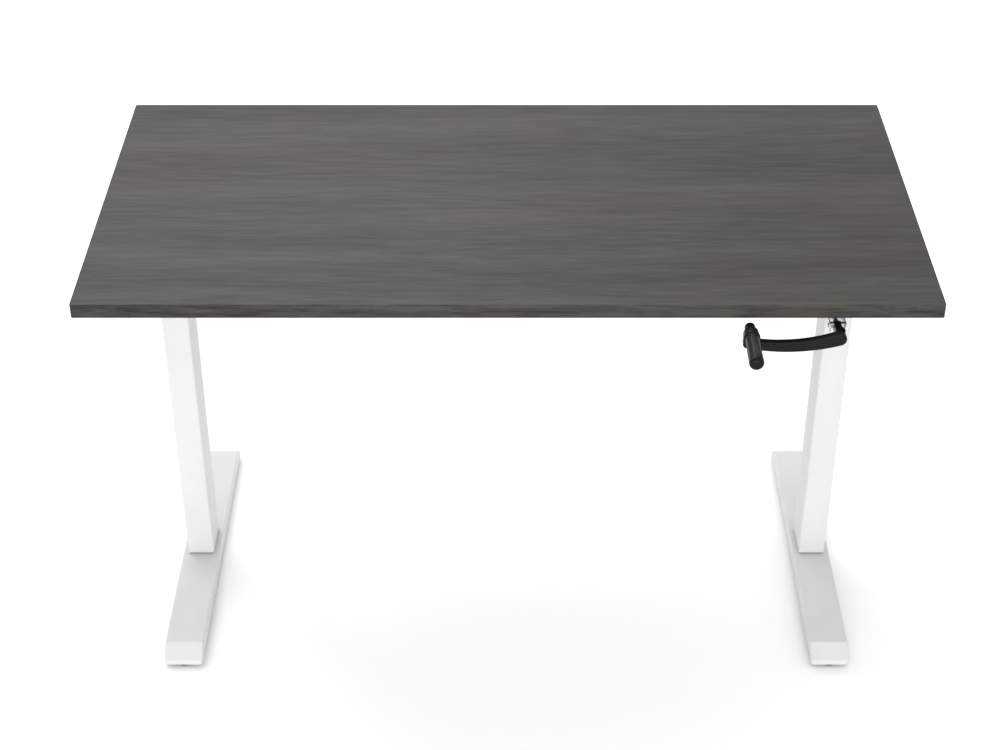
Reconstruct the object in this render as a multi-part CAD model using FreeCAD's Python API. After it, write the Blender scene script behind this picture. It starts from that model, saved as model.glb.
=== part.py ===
"""Hand-cranked sit-stand desk.

Frame: millimetres, +Z up, +X to the sitter's right, the sitter at -Y.  The origin is on the
floor under the middle of the desktop.  The desk stands 104 mm above its lowest setting.
"""
import FreeCAD, Part
import math
import os

V = FreeCAD.Vector
os.makedirs("parts", exist_ok=True)

# ---- driving dimensions -------------------------------------------------------------------
DESK_HEIGHT = 830.0          # floor to desktop face, as it stands
DESK_LENGTH = 1400.0
DESK_DEPTH = 700.0
DESK_THICK = 25.0
BAND = 2.0                   # edge band thickness

LEAD = 8.0                   # rise for one turn of the crank
TURNS_UP = 42                # whole turns from here to the upper stop

COLUMN_X = 599.0             # column centres either side of the middle
COLUMN_Y = 20.0              # columns stand a little behind the middle
OUTER_W, OUTER_D = 50.0, 80.0
INNER_W, INNER_D = 42.0, 72.0
TUBE_WALL = 1.5
TUBE_RADIUS = 4.0

FOOT_W = 70.0
FOOT_HALF = 323.0            # each foot reaches this far in front of its column and behind it
FOOT_BOTTOM, FOOT_TOP = 8.0, 38.0
FOOT_SLOPE = 29.0            # length of each sloping end
FOOT_DROP = 20.7             # how far the end falls
FOOT_SHEET = 2.0
FOOT_CORNER = 7.0
LEVELLER_INSET = 22.0        # leveller centre from the foot's end

ARM_W = 42.0                 # side support arm, an upside-down channel
ARM_DROP = 33.0
ARM_SHEET = 2.5
ARM_HALF = 300.0

SHAFT_DROP = 17.0            # crank and cross shaft axes below the desktop's underside
HEX = 8.0                    # across the flats of both hexagon shafts
CRANK_X = 529.5              # crank shaft, inboard of the right column
GRIP_X = 388.0               # grip axis, with the arm pointing left
GRIP_RISE = 4.0              # how far the grip axis then stands above the crank shaft's

GEAR_TEETH = 16
GEAR_MODULE = 1.25

M8_R, M8_HOLE_R = 4.0, 4.3   # thread and clearance hole
M6_R, M6_HOLE_R = 3.0, 3.2
SCREW_R, SCREW_HOLE_R = 2.0, 2.3

FIT = 0.1                    # radial clearance of a running fit
EPS = 1.0                    # how far a cutter runs past the face it opens

# ---- heights that follow ------------------------------------------------------------------
UNDER = DESK_HEIGHT - DESK_THICK
AXIS_Z = UNDER - SHAFT_DROP
GRIP_Z = AXIS_Z + GRIP_RISE
ARM_BOTTOM = UNDER - ARM_DROP
FOOT_FRONT, FOOT_BACK = COLUMN_Y - FOOT_HALF, COLUMN_Y + FOOT_HALF
SEAT_TOP = FOOT_TOP + 3.0
BLOCK_TOP = SEAT_TOP + 10.0
OUTER_TOP = 641.0
COLLAR_TOP = 653.0
HEAD_BOTTOM = ARM_BOTTOM - 4.0
INNER_BOTTOM = 165.0
NUT_LOW, NUT_SHOULDER, NUT_TOP = 590.0, 605.0, 635.0
WEB_BOTTOM = UNDER - ARM_SHEET
FLANGE_BOTTOM = UNDER - 3.0  # underside of the flanges screwed to the desktop

GEAR_R = GEAR_TEETH * GEAR_MODULE / 2
GEAR_BACK = GEAR_R + 2.3     # apex to the gear's back face
GEAR_FRONT = 7.4             # apex to the gear's front face
HUB_R = 6.0

SIDES = (("left", -1), ("right", 1))


# ---- small helpers ------------------------------------------------------------------------
def save(name, *solids):
    shape = solids[0] if len(solids) == 1 else Part.makeCompound(list(solids))
    shape.exportStep("parts/" + name + ".step")


def box(x0, x1, y0, y1, z0, z1):
    return Part.makeBox(x1 - x0, y1 - y0, z1 - z0, V(x0, y0, z0))


def rod(start, end, radius):
    axis = end - start
    return Part.makeCylinder(radius, axis.Length, start, axis)


def upright(x, y, z0, z1, radius):
    return rod(V(x, y, z0), V(x, y, z1), radius)


def cone(start, end, r0, r1):
    axis = end - start
    return Part.makeCone(r0, r1, axis.Length, start, axis)


def ring(start, end, outer, inner):
    return rod(start, end, outer).cut(rod(start, end, inner))


def rounded_prism(cx, cy, width, depth, z0, z1, radius):
    """Upright prism on a rounded rectangle."""
    block = box(cx - width / 2, cx + width / 2, cy - depth / 2, cy + depth / 2, z0, z1)
    upright = [e for e in block.Edges if abs(e.tangentAt(e.FirstParameter).z) > 0.9]
    return block.makeFillet(radius, upright)


def rectangular_tube(cx, cy, width, depth, z0, z1, wall, radius):
    outside = rounded_prism(cx, cy, width, depth, z0, z1, radius)
    inside = rounded_prism(
        cx, cy, width - 2 * wall, depth - 2 * wall, z0 - EPS, z1 + EPS, radius - wall)
    return outside.cut(inside)


def hexagon_bar(start, end, flats):
    """Hexagon bar along X, Y or Z, with two of its flats square to the next axis."""
    axis = (end - start).normalize()
    side = V(0, 0, 1) if abs(axis.z) < 0.5 else V(1, 0, 0)
    other = axis.cross(side)
    reach = flats / math.sqrt(3)
    corners = []
    for i in range(7):
        angle = math.radians(30 + 60 * i)
        corners.append(start + side * (reach * math.cos(angle)) + other * (reach * math.sin(angle)))
    return Part.Face(Part.makePolygon(corners)).extrude(end - start)


def arc(a, b, c):
    return Part.Arc(a, b, c).toShape()


def line(a, b):
    return Part.LineSegment(a, b).toShape()


# ---- desktop ------------------------------------------------------------------------------
HANGER_Y = -294.0            # bracket that steadies the crank shaft
HANGER_HALF = 25.3           # half the length of the bracket's flange
COVER_LEFT, COVER_RIGHT = CRANK_X - 25.3, CRANK_X + 32.7
CASE_FRONT, CASE_BACK = 2.0, 37.0    # crank gearbox
SCREW_TIP = UNDER + 15.0


def arm_screws(side):
    return [V(side * COLUMN_X, y, WEB_BOTTOM) for y in (-270.0, -140.0, 140.0, 270.0)]


def cover_screws():
    return [
        V(x, y, FLANGE_BOTTOM) for x in (COVER_LEFT + 5.0, COVER_RIGHT - 5.0)
        for y in (CASE_FRONT + 7.0, CASE_BACK - 7.0)]


def hanger_screws():
    return [V(CRANK_X + dx, HANGER_Y, FLANGE_BOTTOM) for dx in (7.0 - HANGER_HALF, HANGER_HALF - 7.0)]


def screw_points():
    """Every place where a wood screw enters the desktop from below, with its head's seat."""
    return arm_screws(-1) + arm_screws(1) + cover_screws() + hanger_screws()


def desktop():
    half_l, half_d = DESK_LENGTH / 2 - BAND, DESK_DEPTH / 2 - BAND
    board = rounded_prism(0, 0, 2 * half_l, 2 * half_d, UNDER, DESK_HEIGHT, 1.5)
    pilots = [upright(p.x, p.y, UNDER - EPS, SCREW_TIP, SCREW_R) for p in screw_points()]
    save("desktop", board.cut(pilots))


def edge_band():
    outside = rounded_prism(0, 0, DESK_LENGTH, DESK_DEPTH, UNDER, DESK_HEIGHT, 3.5)
    rims = [e for e in outside.Edges if e.BoundBox.ZLength < 0.01]
    outside = outside.makeFillet(0.8, rims)
    inside = rounded_prism(
        0, 0, DESK_LENGTH - 2 * BAND, DESK_DEPTH - 2 * BAND, UNDER - EPS, DESK_HEIGHT + EPS, 1.5)
    save("edge_band", outside.cut(inside))


def desktop_screws():
    screws = []
    for p in screw_points():
        shank = upright(p.x, p.y, p.z, SCREW_TIP - 4.0, SCREW_R)
        tip = cone(V(p.x, p.y, SCREW_TIP - 4.0), V(p.x, p.y, SCREW_TIP), SCREW_R, 0.4)
        head = cone(p, V(p.x, p.y, p.z - 2.6), 4.2, 3.0)
        slot = hexagon_bar(V(p.x, p.y, p.z - 3.0), V(p.x, p.y, p.z - 1.0), 2.5)
        screws.append(shank.fuse([tip, head]).cut(slot))
    save("desktop_screws", *screws)


# ---- feet ---------------------------------------------------------------------------------
def foot_solid(cx, inset):
    """The foot's outline, drawn in by the sheet thickness where inset says so."""
    front, back, top = FOOT_FRONT + inset, FOOT_BACK - inset, FOOT_TOP - inset
    bottom = FOOT_BOTTOM - (EPS if inset else 0)
    profile = [
        V(0, front, bottom), V(0, front, top - FOOT_DROP), V(0, front + FOOT_SLOPE, top),
        V(0, back - FOOT_SLOPE, top), V(0, back, top - FOOT_DROP), V(0, back, bottom)]
    width = FOOT_W - 2 * inset
    side_view = Part.Face(Part.makePolygon(profile + profile[:1]))
    bar = side_view.extrude(V(width, 0, 0))
    bar.translate(V(cx - width / 2, 0, 0))
    middle, length = (front + back) / 2, back - front
    plan = rounded_prism(cx, middle, width, length, bottom - EPS, top + EPS, FOOT_CORNER - inset)
    return bar.common(plan)


def round_foot_top(solid, radius):
    """Round the pressed edge between the foot's top and its walls."""
    rims = []
    for edge in solid.Edges:
        extent = edge.BoundBox
        on_side = extent.XLength < 0.01 and extent.YLength > 1.0
        on_end = extent.YLength < 0.01 and extent.XLength > 1.0
        corner = extent.XLength > 1.0 and extent.YLength > 1.0
        if extent.ZMin > FOOT_BOTTOM + 1.0 and (on_side or on_end or corner):
            rims.append(edge)
    return solid.makeFillet(radius, rims)


BOLT_OFFSETS = [(dx, dy) for dx in (-15.0, 15.0) for dy in (-28.0, 28.0)]
BOLT_SEAT = FOOT_TOP - FOOT_SHEET - 5.0


def feet():
    for name, side in SIDES:
        cx = side * COLUMN_X
        shell = round_foot_top(foot_solid(cx, 0.0), 2.5).cut(foot_solid(cx, FOOT_SHEET))
        holes = [
            upright(cx + dx, COLUMN_Y + dy, FOOT_TOP - 5.0, FOOT_TOP + EPS, M8_HOLE_R)
            for dx, dy in BOLT_OFFSETS]
        save(name + "_foot", shell.cut(holes))


def foot_plates():
    """Stiffening plate under the foot's top, where the column bolts on."""
    plates = []
    for _, side in SIDES:
        cx = side * COLUMN_X
        low, top = BOLT_SEAT, FOOT_TOP - FOOT_SHEET
        plate = rounded_prism(cx, COLUMN_Y, 60.0, 110.0, low, top, 5.0)
        holes = [
            upright(cx + dx, COLUMN_Y + dy, low - EPS, top + EPS, M8_HOLE_R)
            for dx, dy in BOLT_OFFSETS]
        plates.append(plate.cut(holes))
    save("foot_plates", *plates)


def leveller_places():
    places = []
    for side_name, side in SIDES:
        for end_name, y in (
                ("front", FOOT_FRONT + LEVELLER_INSET), ("rear", FOOT_BACK - LEVELLER_INSET)):
            places.append((end_name + "_" + side_name, side * COLUMN_X, y))
    return places


def leveller_plates():
    """Cross plates with weld nuts that the levellers screw into."""
    plates = []
    for _, x, y in leveller_places():
        width = FOOT_W - 2 * FOOT_SHEET
        plate = box(x - width / 2, x + width / 2, y - 8.0, y + 8.0, FOOT_BOTTOM, FOOT_BOTTOM + 3.0)
        nut = hexagon_bar(V(x, y, FOOT_BOTTOM + 3.0), V(x, y, FOOT_BOTTOM + 8.5), 13.0)
        bore = upright(x, y, FOOT_BOTTOM - EPS, FOOT_BOTTOM + 12.0, M8_R + FIT)
        plates.append(plate.fuse(nut).cut(bore))
    save("leveller_plates", *plates)


def levellers():
    for name, x, y in leveller_places():
        rim = [
            V(0, 0, 0), V(15.5, 0, 0), V(17.0, 0, 1.4), V(17.0, 0, 2.8), V(15.0, 0, 5.0),
            V(7.0, 0, 6.0), V(M8_R, 0, 6.0), V(M8_R, 0, 20.6), V(M8_R - 0.8, 0, 21.4), V(0, 0, 21.4)]
        pad = Part.Face(Part.makePolygon(rim + rim[:1])).revolve(V(0, 0, 0), V(0, 0, 1), 360)
        pad.translate(V(x, y, 0))
        save(name + "_leveller", pad)


# ---- fixed part of the columns ------------------------------------------------------------
def column_seats():
    """Set-back packing plate between each foot and its column."""
    seats = []
    for _, side in SIDES:
        cx = side * COLUMN_X
        seat = rounded_prism(cx, COLUMN_Y, OUTER_W - 6.0, OUTER_D - 6.0, FOOT_TOP, SEAT_TOP, 2.0)
        holes = [
            upright(cx + dx, COLUMN_Y + dy, FOOT_TOP - EPS, SEAT_TOP + EPS, M8_HOLE_R)
            for dx, dy in BOLT_OFFSETS]
        seats.append(seat.cut(holes))
    save("column_seats", *seats)


def base_blocks():
    """Threaded block welded into the foot of each outer tube."""
    blocks = []
    for _, side in SIDES:
        cx = side * COLUMN_X
        block = rounded_prism(
            cx, COLUMN_Y, OUTER_W - 2 * TUBE_WALL, OUTER_D - 2 * TUBE_WALL,
            SEAT_TOP, BLOCK_TOP, TUBE_RADIUS - TUBE_WALL)
        holes = [
            upright(cx + dx, COLUMN_Y + dy, SEAT_TOP - EPS, BLOCK_TOP + EPS, M8_R)
            for dx, dy in BOLT_OFFSETS]
        blocks.append(block.cut(holes))
    save("base_blocks", *blocks)


def column_bolts():
    bolts = []
    for _, side in SIDES:
        for dx, dy in BOLT_OFFSETS:
            x, y = side * COLUMN_X + dx, COLUMN_Y + dy
            head = upright(x, y, BOLT_SEAT - 6.0, BOLT_SEAT, 6.5)
            shank = upright(x, y, BOLT_SEAT, BLOCK_TOP, M8_R)
            socket = hexagon_bar(V(x, y, BOLT_SEAT - 7.0), V(x, y, BOLT_SEAT - 3.0), 6.0)
            bolts.append(head.fuse(shank).cut(socket))
    save("column_bolts", *bolts)


def outer_tubes():
    for name, side in SIDES:
        tube = rectangular_tube(
            side * COLUMN_X, COLUMN_Y, OUTER_W, OUTER_D, SEAT_TOP, OUTER_TOP, TUBE_WALL, TUBE_RADIUS)
        save(name + "_outer_tube", tube)


SLIDE_GAP = 0.3              # sliding clearance of the plastic guides


def tube_collars():
    """Plastic guide pressed into the top of each outer tube, around the inner one."""
    for name, side in SIDES:
        cx = side * COLUMN_X
        head = rounded_prism(
            cx, COLUMN_Y, OUTER_W + 1.6, OUTER_D + 1.6, OUTER_TOP, COLLAR_TOP, TUBE_RADIUS + 0.8)
        rims = [e for e in head.Edges if e.BoundBox.ZMin > COLLAR_TOP - 0.01]
        head = head.makeFillet(2.0, rims)
        sleeve = rounded_prism(
            cx, COLUMN_Y, OUTER_W - 2 * TUBE_WALL, OUTER_D - 2 * TUBE_WALL,
            OUTER_TOP - 40.0, OUTER_TOP, TUBE_RADIUS - TUBE_WALL)
        way = rounded_prism(
            cx, COLUMN_Y, INNER_W + 2 * SLIDE_GAP, INNER_D + 2 * SLIDE_GAP,
            OUTER_TOP - 41.0, COLLAR_TOP + EPS, TUBE_RADIUS + SLIDE_GAP)
        save(name + "_tube_collar", head.fuse(sleeve).cut(way))


NUT_TUBE_R, NUT_TUBE_BORE = 11.0, 9.0
SCREW_THREAD_R = 7.0


def nut_tubes():
    """Pillar in each column that carries the lift nut."""
    save("nut_tubes", *[
        ring(
            V(side * COLUMN_X, COLUMN_Y, BLOCK_TOP), V(side * COLUMN_X, COLUMN_Y, NUT_SHOULDER),
            NUT_TUBE_R, NUT_TUBE_BORE)
        for _, side in SIDES])


def lift_nuts():
    nuts = []
    for _, side in SIDES:
        cx = side * COLUMN_X
        body = upright(cx, COLUMN_Y, NUT_SHOULDER, NUT_TOP, 13.0)
        spigot = upright(cx, COLUMN_Y, NUT_LOW, NUT_SHOULDER, NUT_TUBE_BORE)
        bore = upright(cx, COLUMN_Y, NUT_LOW - EPS, NUT_TOP + EPS, SCREW_THREAD_R + FIT)
        nuts.append(body.fuse(spigot).cut(bore))
    save("lift_nuts", *nuts)


# ---- rising part of the columns -----------------------------------------------------------
def inner_tubes():
    for name, side in SIDES:
        tube = rectangular_tube(
            side * COLUMN_X, COLUMN_Y, INNER_W, INNER_D, INNER_BOTTOM, HEAD_BOTTOM,
            TUBE_WALL, TUBE_RADIUS)
        save(name + "_inner_tube", tube)


def glide_shoes():
    """Plastic shoe round the lower end of each inner tube."""
    shoes = []
    for _, side in SIDES:
        cx = side * COLUMN_X
        play = 2 * (TUBE_WALL + SLIDE_GAP)
        body = rounded_prism(
            cx, COLUMN_Y, OUTER_W - play, OUTER_D - play, INNER_BOTTOM - 4.0, INNER_BOTTOM + 50.0,
            TUBE_RADIUS - TUBE_WALL)
        socket = rounded_prism(
            cx, COLUMN_Y, INNER_W, INNER_D, INNER_BOTTOM, INNER_BOTTOM + 51.0, TUBE_RADIUS)
        mouth = rounded_prism(
            cx, COLUMN_Y, INNER_W - 8.0, INNER_D - 8.0, INNER_BOTTOM - 5.0, INNER_BOTTOM + EPS, 3.0)
        shoes.append(body.cut([socket, mouth]))
    save("glide_shoes", *shoes)


BUSH_R = 8.0                 # outside of every plain bush


def head_plates():
    """Plate welded on each inner tube, under the support arm."""
    plates = []
    for _, side in SIDES:
        cx = side * COLUMN_X
        plate = rounded_prism(cx, COLUMN_Y, 46.0, 100.0, HEAD_BOTTOM, ARM_BOTTOM, 3.0)
        bore = upright(cx, COLUMN_Y, HEAD_BOTTOM - EPS, ARM_BOTTOM + EPS, BUSH_R)
        plates.append(plate.cut(bore))
    save("head_plates", *plates)


BOX_HALF_X, BOX_FRONT, BOX_BACK = 18.0, -13.0, 53.0
BOX_WALL = 3.0
CAVITY_FRONT, CAVITY_BACK = 4.0, 36.0
LID_BOTTOM = WEB_BOTTOM - 1.5
PASS_R = 5.6                 # clearance hole for a hexagon shaft
SINK_BOTTOM = UNDER - 2.2    # countersunk heads of the gearbox screws


def box_screw_points(cx):
    return [(cx + dx, y) for dx in (-10.0, 10.0) for y in (-6.0, 46.0)]


def gear_housings():
    """Cast gearbox on top of each column, inside the support arm."""
    for name, side in SIDES:
        cx = side * COLUMN_X
        body = rounded_prism(
            cx, (BOX_FRONT + BOX_BACK) / 2, 2 * BOX_HALF_X, BOX_BACK - BOX_FRONT,
            ARM_BOTTOM, LID_BOTTOM, 2.0)
        inner = BOX_HALF_X - BOX_WALL
        cavity = box(
            cx - inner, cx + inner, CAVITY_FRONT, CAVITY_BACK, ARM_BOTTOM + BOX_WALL, LID_BOTTOM + EPS)
        floor_bore = upright(cx, COLUMN_Y, ARM_BOTTOM - EPS, ARM_BOTTOM + BOX_WALL + EPS, BUSH_R)
        gear_wall = rod(
            V(cx + inner - EPS, COLUMN_Y, AXIS_Z), V(cx + BOX_HALF_X + EPS, COLUMN_Y, AXIS_Z), BUSH_R)
        cuts = [cavity, floor_bore, gear_wall]
        if side > 0:
            cuts.append(rod(
                V(cx - BOX_HALF_X - EPS, COLUMN_Y, AXIS_Z), V(cx - inner + EPS, COLUMN_Y, AXIS_Z),
                PASS_R))
        for x, y in box_screw_points(cx):
            cuts.append(upright(x, y, AXIS_Z - 5.0, LID_BOTTOM + EPS, SCREW_R))
        save(name + "_gear_housing", body.cut(cuts))


def gear_lids():
    lids = []
    for _, side in SIDES:
        cx = side * COLUMN_X
        lid = rounded_prism(
            cx, (BOX_FRONT + BOX_BACK) / 2, 2 * BOX_HALF_X, BOX_BACK - BOX_FRONT,
            LID_BOTTOM, WEB_BOTTOM, 2.0)
        holes = [
            upright(x, y, LID_BOTTOM - EPS, WEB_BOTTOM + EPS, SCREW_R)
            for x, y in box_screw_points(cx)]
        lids.append(lid.cut(holes))
    save("gear_lids", *lids)


def countersink(x, y):
    return cone(V(x, y, SINK_BOTTOM), V(x, y, UNDER), SCREW_R, 4.0)


def gearbox_screws():
    screws = []
    for _, side in SIDES:
        for x, y in box_screw_points(side * COLUMN_X):
            shank = upright(x, y, AXIS_Z - 4.0, SINK_BOTTOM, SCREW_R)
            socket = hexagon_bar(V(x, y, UNDER - 1.5), V(x, y, UNDER + EPS), 2.5)
            screws.append(shank.fuse(countersink(x, y)).cut(socket))
    save("gearbox_screws", *screws)


def support_arms():
    """Channel under each end of the desktop, open side down."""
    for name, side in SIDES:
        cx = side * COLUMN_X
        half = ARM_W / 2
        outside = box(cx - half, cx + half, -ARM_HALF, ARM_HALF, ARM_BOTTOM, UNDER)
        ridges = [
            e for e in outside.Edges if e.BoundBox.ZMin > UNDER - 0.01 and e.BoundBox.YLength > 1.0]
        outside = outside.makeFillet(3.0, ridges)
        inside = box(
            cx - half + ARM_SHEET, cx + half - ARM_SHEET, -ARM_HALF - EPS, ARM_HALF + EPS,
            ARM_BOTTOM - EPS, WEB_BOTTOM)
        cuts = [inside]
        inboard = cx - side * half
        cuts.append(rod(
            V(inboard - side * EPS, COLUMN_Y, AXIS_Z),
            V(inboard + side * (ARM_SHEET + EPS), COLUMN_Y, AXIS_Z), 7.0))
        for y in RAIL_BOLT_YS:
            cuts.append(rod(
                V(inboard - side * EPS, y, RAIL_MIDDLE),
                V(inboard + side * (ARM_SHEET + EPS), y, RAIL_MIDDLE), M6_HOLE_R))
        for x, y in box_screw_points(cx):
            cuts.append(countersink(x, y))
            cuts.append(upright(x, y, WEB_BOTTOM - EPS, SINK_BOTTOM, SCREW_R))
        for p in arm_screws(side):
            cuts.append(upright(p.x, p.y, WEB_BOTTOM - EPS, UNDER + EPS, SCREW_HOLE_R))
        save(name + "_support_arm", outside.cut(cuts))


RAIL_YS = (("front", 90.0), ("rear", 210.0))
RAIL_D, RAIL_WALL = 40.0, 1.5
RAIL_LOW, RAIL_HIGH = UNDER - 28.0, UNDER - 3.0
RAIL_MIDDLE = (RAIL_LOW + RAIL_HIGH) / 2
RAIL_END = COLUMN_X - ARM_W / 2      # where the end plates meet the support arms
PLATE_T = 3.0
RAIL_BOLTS = (-25.0, 25.0)           # bolts either side of a rail's middle
RAIL_BOLT_YS = [y + dy for _, y in RAIL_YS for dy in RAIL_BOLTS]


def rails():
    """Cross rails between the support arms, with welded end plates."""
    for name, y in RAIL_YS:
        reach = RAIL_END - PLATE_T
        outside = box(-reach, reach, y - RAIL_D / 2, y + RAIL_D / 2, RAIL_LOW, RAIL_HIGH)
        long_edges = [e for e in outside.Edges if e.BoundBox.XLength > 10.0]
        outside = outside.makeFillet(3.0, long_edges)
        inside = box(
            -reach - EPS, reach + EPS, y - RAIL_D / 2 + RAIL_WALL, y + RAIL_D / 2 - RAIL_WALL,
            RAIL_LOW + RAIL_WALL, RAIL_HIGH - RAIL_WALL)
        rail = outside.cut(inside)
        for side in (-1, 1):
            x0, x1 = sorted((side * reach, side * RAIL_END))
            plate = box(x0, x1, y - 33.0, y + 33.0, RAIL_MIDDLE - 14.0, RAIL_MIDDLE + 14.0)
            holes = [
                rod(V(x0 - EPS, y + dy, RAIL_MIDDLE), V(x1 + EPS, y + dy, RAIL_MIDDLE), M6_HOLE_R)
                for dy in RAIL_BOLTS]
            rail = rail.fuse(plate.cut(holes))
        save(name + "_rail", rail)


def rail_fasteners():
    bolts, nuts = [], []
    z = RAIL_MIDDLE
    for _, side in SIDES:
        for y in RAIL_BOLT_YS:
            head_x, nut_x = side * (RAIL_END - PLATE_T), side * (RAIL_END + ARM_SHEET)
            head = hexagon_bar(V(head_x - side * 4.0, y, z), V(head_x, y, z), 8.0)
            shank = rod(V(head_x, y, z), V(nut_x + side * 7.0, y, z), M6_R)
            bolts.append(head.fuse(shank))
            nut = hexagon_bar(V(nut_x, y, z), V(nut_x + side * 5.0, y, z), 10.0)
            nuts.append(nut.cut(rod(V(nut_x - side * EPS, y, z), V(nut_x + side * 6.0, y, z), M6_R)))
    save("rail_bolts", *bolts)
    save("rail_nuts", *nuts)


# ---- lifting drive ------------------------------------------------------------------------
def tooth(angle):
    """One straight bevel tooth.  Its apex is the origin and the gear's back faces +Z."""
    shares = ((1.15, -1.9), (1.12, -1.2), (0.82, 0.0), (0.40, 1.1))
    outline = [(w, h) for w, h in shares] + [(-w, h) for w, h in reversed(shares)]
    slope = math.sqrt(0.5)
    wires = []
    for scale in (2.0 / 3.0, 1.0):
        points = []
        for across, height in outline:
            radial = (GEAR_R + height * slope) * scale
            axial = (GEAR_R - height * slope) * scale
            x, y = radial, across * scale
            points.append(V(
                x * math.cos(angle) - y * math.sin(angle),
                x * math.sin(angle) + y * math.cos(angle), axial))
        wires.append(Part.makePolygon(points + points[:1]))
    return Part.makeLoft(wires, True, True)


def bevel_gear(apex, away, contact, phase, hub, bore):
    """Mitre gear.  away points from the apex to its back, and contact to the gear it meets.

    phase is 0 for a tooth on the contact line and 0.5 for a space.  hub is the sleeve's length
    behind the back face, and bore cuts the gear in its own frame.
    """
    slope = math.sqrt(0.5)
    root_r, root_h = GEAR_R - 1.5 * slope, GEAR_R + 1.5 * slope
    blank = [
        V(0, 0, root_h * 2 / 3), V(root_r * 2 / 3, 0, root_h * 2 / 3), V(root_r, 0, root_h),
        V(root_r, 0, GEAR_BACK), V(HUB_R, 0, GEAR_BACK), V(HUB_R, 0, GEAR_BACK + hub),
        V(0, 0, GEAR_BACK + hub)]
    gear = Part.Face(Part.makePolygon(blank + blank[:1])).revolve(V(0, 0, 0), V(0, 0, 1), 360)
    pitch = 2 * math.pi / GEAR_TEETH
    gear = gear.fuse([tooth((i + phase) * pitch) for i in range(GEAR_TEETH)]).cut(bore)
    side = away.cross(contact)
    turn = FreeCAD.Matrix(
        contact.x, side.x, away.x, apex.x, contact.y, side.y, away.y, apex.y,
        contact.z, side.z, away.z, apex.z, 0, 0, 0, 1)
    gear.Placement = FreeCAD.Placement(turn)
    return gear


def round_bore(radius):
    return rod(V(0, 0, -EPS), V(0, 0, 40.0), radius)


def hexagon_bore(contact):
    """Hexagon bore that ends up with two flats facing up and down, like the shafts."""
    bore = hexagon_bar(V(0, 0, -EPS), V(0, 0, 40.0), HEX)
    if abs(contact.z) < 0.5:
        bore.rotate(V(0, 0, 0), V(0, 0, 1), 30)
    return bore


X, Y, Z = V(1, 0, 0), V(0, 1, 0), V(0, 0, 1)
COLLAR_LOW = 756.0           # load collar of the lead screw
BEARING_LOW = HEAD_BOTTOM - 6.0
SPIGOT_R = 4.0


def column_apex(side):
    return V(side * COLUMN_X, COLUMN_Y, AXIS_Z)


CRANK_APEX = V(CRANK_X, COLUMN_Y, AXIS_Z)


def lead_screws():
    low = NUT_LOW + 5.0 - LEAD * TURNS_UP
    for name, side in SIDES:
        apex = column_apex(side)

        def at(z):
            return V(apex.x, apex.y, z)

        thread = rod(at(low + 2.0), at(COLLAR_LOW), SCREW_THREAD_R)
        point = cone(at(low), at(low + 2.0), SCREW_THREAD_R - 2.0, SCREW_THREAD_R)
        collar = rod(at(COLLAR_LOW), at(BEARING_LOW - SLIDE_GAP), 11.0)
        journal = rod(at(BEARING_LOW - SLIDE_GAP), at(AXIS_Z - GEAR_BACK), HUB_R)
        spigot = rod(at(AXIS_Z - GEAR_BACK), at(AXIS_Z - GEAR_FRONT - 0.3), SPIGOT_R)
        save(name + "_lead_screw", thread.fuse([point, collar, journal, spigot]))
        save(name + "_screw_gear", bevel_gear(apex, -Z, X, 0.0, 0.0, round_bore(SPIGOT_R)))


def screw_supports():
    bearings, bushes = [], []
    for _, side in SIDES:
        apex = column_apex(side)
        bearings.append(ring(
            V(apex.x, apex.y, BEARING_LOW), V(apex.x, apex.y, HEAD_BOTTOM), 13.0, HUB_R + FIT))
        bushes.append(ring(
            V(apex.x, apex.y, HEAD_BOTTOM), V(apex.x, apex.y, ARM_BOTTOM + BOX_WALL),
            BUSH_R, HUB_R + FIT))
    save("thrust_bearings", *bearings)
    save("screw_bushes", *bushes)


HUB_LENGTH = 5.5             # sleeve behind a gear, which runs in a bush
HUB_REACH = GEAR_BACK + HUB_LENGTH


def hexagon_gear(apex, away, contact, phase):
    return bevel_gear(apex, away, contact, phase, HUB_LENGTH, hexagon_bore(contact))


def cross_shaft():
    left = column_apex(-1).x + GEAR_FRONT
    right = column_apex(1).x + HUB_REACH
    save("cross_shaft", hexagon_bar(V(left, COLUMN_Y, AXIS_Z), V(right, COLUMN_Y, AXIS_Z), HEX))
    for name, side in SIDES:
        save(name + "_drive_gear", hexagon_gear(column_apex(side), X, -Z, 0.5))
    save("input_gear", hexagon_gear(CRANK_APEX, X, -Y, 0.5))


CASE_LEFT, CASE_RIGHT = CRANK_X - 15.3, CRANK_X + 17.7


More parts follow.
